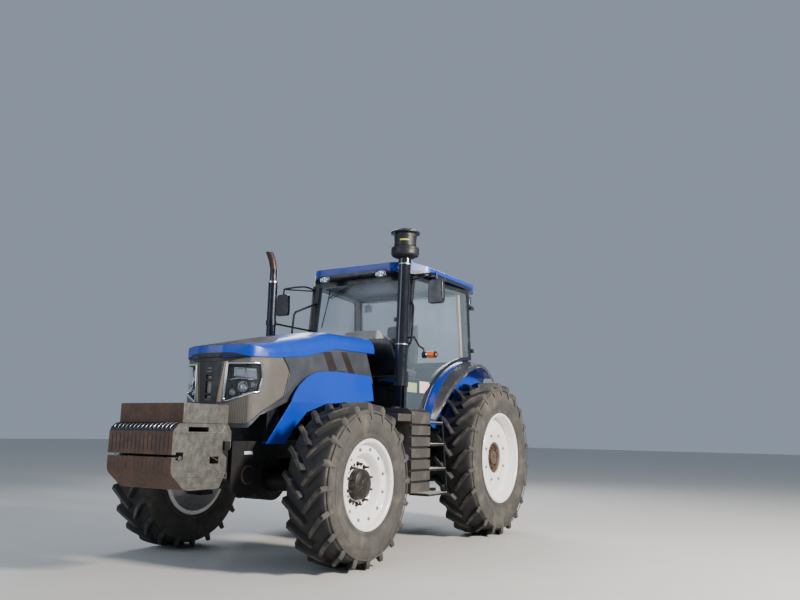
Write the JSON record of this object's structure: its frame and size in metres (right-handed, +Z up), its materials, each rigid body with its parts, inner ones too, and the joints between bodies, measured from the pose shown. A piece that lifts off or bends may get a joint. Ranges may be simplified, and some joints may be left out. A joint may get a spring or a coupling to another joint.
{
  "type": "farm tractor with cab",
  "caption": "All-wheel-drive farm tractor with a glazed cab, front weights, wheels that turn and steer, an opening hood and doors, and a rear lifting linkage.",
  "frame": {"origin": "on the ground under the middle of the whole machine's box", "axes": "+X to the tractor's left, -Y forward, +Z up"},
  "size_m": [2.447, 5.1199, 3.285],
  "materials": {
    "weight_iron": "weathered, brown rust on the front faces",
    "chassis_black": "painted black, dusty",
    "cast_dark": "painted dark",
    "dark_plastic": "matte, dusty",
    "cab_black": "satin black",
    "window_glass": "clear, slightly blue",
    "blue_paint": "gloss",
    "hood_blue": "gloss",
    "hood_grey": "metallic satin",
    "nose_grey": "fine perforated, dusty",
    "fender_plastic": "dark grey moulding",
    "stack_steel": "dark, rusty at the tip",
    "amber_lens": "clear amber",
    "lamp_glass": "clear lens",
    "tank_plastic": "matte, dusty",
    "step_steel": "worn black",
    "dash_plastic": "matte warm grey",
    "seat_cloth": "dark woven cloth",
    "bright_steel": "bright rod",
    "tyre_rubber": "dusty black",
    "rim_white": "gloss white, dusty",
    "hub_steel": "dark, rusty"
  },
  "bodies": {
    "chassis": {"front_weights": "weight_iron", "weight_block": "weight_iron", "weight_carrier": "chassis_black", "front_frame": "chassis_black", "front_axle": "chassis_black", "engine": "cast_dark", "radiator": "dark_plastic", "transmission": "chassis_black", "rear_axle": "chassis_black", "cab_tub": "cab_black", "cab_frame": "cab_black", "cab_glass": "window_glass", "roof": "blue_paint", "rear_fenders": "blue_paint", "fender_flares": "fender_plastic", "inner_guards": "blue_paint", "exhaust_stack": "stack_steel", "intake_stack": "dark_plastic", "pre_cleaner": "dark_plastic", "mirrors": "dark_plastic", "grab_rails": "cab_black", "signals": "amber_lens", "work_lamps": "lamp_glass", "tanks": "tank_plastic", "steps": "step_steel", "dash": "dash_plastic", "seat_base": "cab_black", "seat_pads": "seat_cloth", "hitch": "chassis_black"},
    "hood": {"hood_cap": "hood_blue", "hood_sides": "hood_grey", "nose_panel": "nose_grey", "grille": "dark_plastic", "headlamps": "lamp_glass"},
    "door_l": {"door_l": "cab_black", "door_l_glass": "window_glass"},
    "door_r": {"door_r": "cab_black", "door_r_glass": "window_glass"},
    "knuckle_l": {"knuckle_l": "chassis_black"},
    "knuckle_r": {"knuckle_r": "chassis_black"},
    "steering_rod": {"steering_rod": "bright_steel"},
    "steering_wheel": {"steering_wheel": "dark_plastic"},
    "wheel_fl": {"tyre_fl": "tyre_rubber", "rim_fl": "rim_white", "hub_fl": "hub_steel"},
    "wheel_fr": {"tyre_fr": "tyre_rubber", "rim_fr": "rim_white", "hub_fr": "hub_steel"},
    "wheel_rl": {"tyre_rl": "tyre_rubber", "rim_rl": "rim_white", "hub_rl": "hub_steel"},
    "wheel_rr": {"tyre_rr": "tyre_rubber", "rim_rr": "rim_white", "hub_rr": "hub_steel"},
    "lift_arms": {"lift_arms": "chassis_black"},
    "lift_rods": {"lift_rods": "chassis_black"},
    "lower_links": {"lower_links": "chassis_black"},
    "top_link": {"top_link": "chassis_black"}
  },
  "joints": [
    {"name": "steer_l", "type": "hinge", "parent": "chassis", "child": "knuckle_l", "pos_m": [0.82, -1.15, 0.69], "axis": [0, 0, 1], "range_deg": [-35, 35]},
    {"name": "steer_r", "type": "hinge", "parent": "chassis", "child": "knuckle_r", "pos_m": [-0.82, -1.15, 0.69], "axis": [0, 0, 1], "range_deg": [-35, 35]},
    {"name": "steering_rod_slide", "type": "slide", "parent": "chassis", "child": "steering_rod", "axis": [1, 0, 0], "range_m": [-0.116, 0.116]},
    {"name": "wheel_fl_spin", "type": "hinge", "parent": "knuckle_l", "child": "wheel_fl", "pos_m": [1.004, -1.15, 0.69], "axis": [1, 0, 0], "continuous": true},
    {"name": "wheel_fr_spin", "type": "hinge", "parent": "knuckle_r", "child": "wheel_fr", "pos_m": [-1.004, -1.15, 0.69], "axis": [1, 0, 0], "continuous": true},
    {"name": "wheel_rl_spin", "type": "hinge", "parent": "chassis", "child": "wheel_rl", "pos_m": [0.99, 1.61, 0.862], "axis": [1, 0, 0], "continuous": true},
    {"name": "wheel_rr_spin", "type": "hinge", "parent": "chassis", "child": "wheel_rr", "pos_m": [-0.99, 1.61, 0.862], "axis": [1, 0, 0], "continuous": true},
    {"name": "hood_lift", "type": "hinge", "parent": "chassis", "child": "hood", "pos_m": [0, 0.02, 1.96], "axis": [-1, 0, 0], "range_deg": [0, 50]},
    {"name": "door_l_swing", "type": "hinge", "parent": "chassis", "child": "door_l", "pos_m": [0.843, 1.604, 2], "axis": [0, 0, 1], "range_deg": [0, 70]},
    {"name": "door_r_swing", "type": "hinge", "parent": "chassis", "child": "door_r", "pos_m": [-0.843, 1.604, 2], "axis": [0, 0, -1], "range_deg": [0, 70]},
    {"name": "steering_wheel_turn", "type": "hinge", "parent": "chassis", "child": "steering_wheel", "pos_m": [0, 0.83, 2.15], "axis": [0, 0.4983, 0.867], "continuous": true},
    {"name": "lift_raise", "type": "hinge", "parent": "chassis", "child": "lift_arms", "pos_m": [0, 1.79, 1.19], "axis": [1, 0, 0], "range_deg": [-28, 30]},
    {"name": "lift_rods_swing", "type": "hinge", "parent": "lift_arms", "child": "lift_rods", "pos_m": [0, 2.10514, 1.24557], "axis": [1, 0, 0], "range_deg": [-28, 28]},
    {"name": "lower_links_swing", "type": "hinge", "parent": "chassis", "child": "lower_links", "pos_m": [0, 1.7, 0.6], "axis": [1, 0, 0], "range_deg": [-22, 24]},
    {"name": "top_link_swing", "type": "hinge", "parent": "chassis", "child": "top_link", "pos_m": [0, 1.965, 1.01], "axis": [1, 0, 0], "range_deg": [-25, 60]}
  ],
  "couplings": [
    {"joint": "steer_r", "follows": "steer_l", "ratio": 1},
    {"joint": "steering_rod_slide", "follows": "steer_l", "m_per_rad": -0.188},
    {"joint": "lift_rods_swing", "follows": "lift_raise", "ratio": -0.896},
    {"joint": "lower_links_swing", "follows": "lift_raise", "ratio": 0.76}
  ]
}
